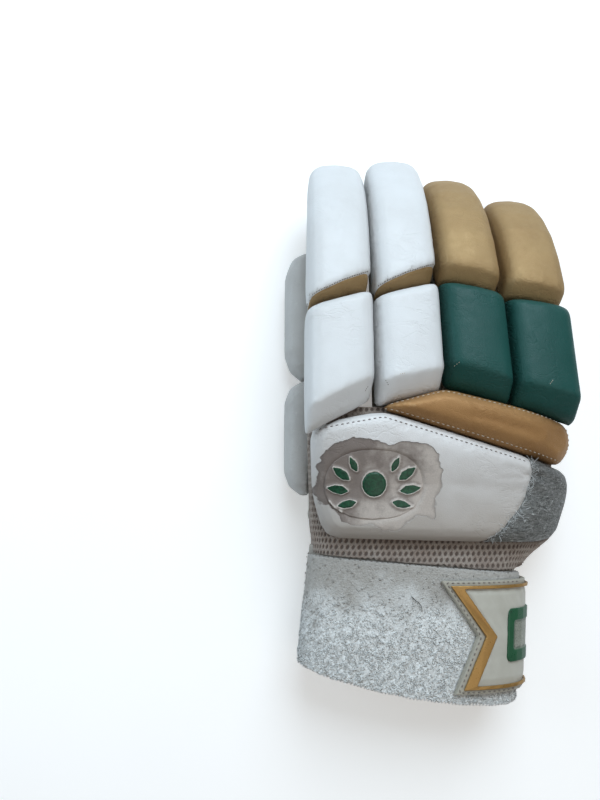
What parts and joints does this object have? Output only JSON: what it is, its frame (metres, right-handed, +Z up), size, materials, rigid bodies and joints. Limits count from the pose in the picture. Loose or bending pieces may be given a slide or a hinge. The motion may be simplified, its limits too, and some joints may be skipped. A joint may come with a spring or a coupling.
{
  "type": "cricket batting glove",
  "caption": "Right-hand cricket batting glove lying palm down, with padded finger and thumb blocks, a knuckle roll, a back pad with a badge, a towelling cuff and a wrist strap.",
  "frame": {"origin": "middle of the glove's footprint, on the surface that it lies on palm down", "axes": "+Y points from the wrist to the fingertips, +X towards the little finger, +Z up out of the back of the hand"},
  "size_m": [0.1348, 0.2584, 0.0709],
  "materials": {
    "white_leather": "smooth grained white leather with light scuffs",
    "cream_leather": "warm off-white leather, worn by the badge",
    "palm_leather": "soft pale leather",
    "gold_leather": "metallic gold grained leather",
    "green_leather": "dark green grained leather",
    "silver_foil": "crinkled silver foil on leather",
    "badge_green": "moulded dark green, slightly glossy",
    "spacer_mesh": "taupe spacer mesh with small holes",
    "towelling": "worn looped towelling",
    "strap_white": "white coated strap with a stitched edge",
    "trim_gold": "moulded gold trim"
  },
  "bodies": {
    "root": {"palm": "palm_leather", "mesh_back": "spacer_mesh", "index_stall": "palm_leather", "middle_stall": "palm_leather", "ring_stall": "palm_leather", "little_stall": "palm_leather", "thumb_stall": "palm_leather", "index_knuckle_block": "white_leather", "index_end_panel": "gold_leather", "index_tip_block": "white_leather", "middle_knuckle_block": "white_leather", "middle_end_panel": "gold_leather", "middle_tip_block": "white_leather", "ring_knuckle_block": "green_leather", "ring_tip_block": "gold_leather", "little_knuckle_block": "green_leather", "little_tip_block": "gold_leather", "thumb_base_block": "white_leather", "thumb_tip_block": "white_leather", "knuckle_roll": "gold_leather", "back_pad": "cream_leather", "silver_corner": "silver_foil", "badge": "badge_green", "cuff": "towelling", "strap": "strap_white", "strap_trim": "trim_gold", "strap_tab": "badge_green"}
  },
  "joints": []
}
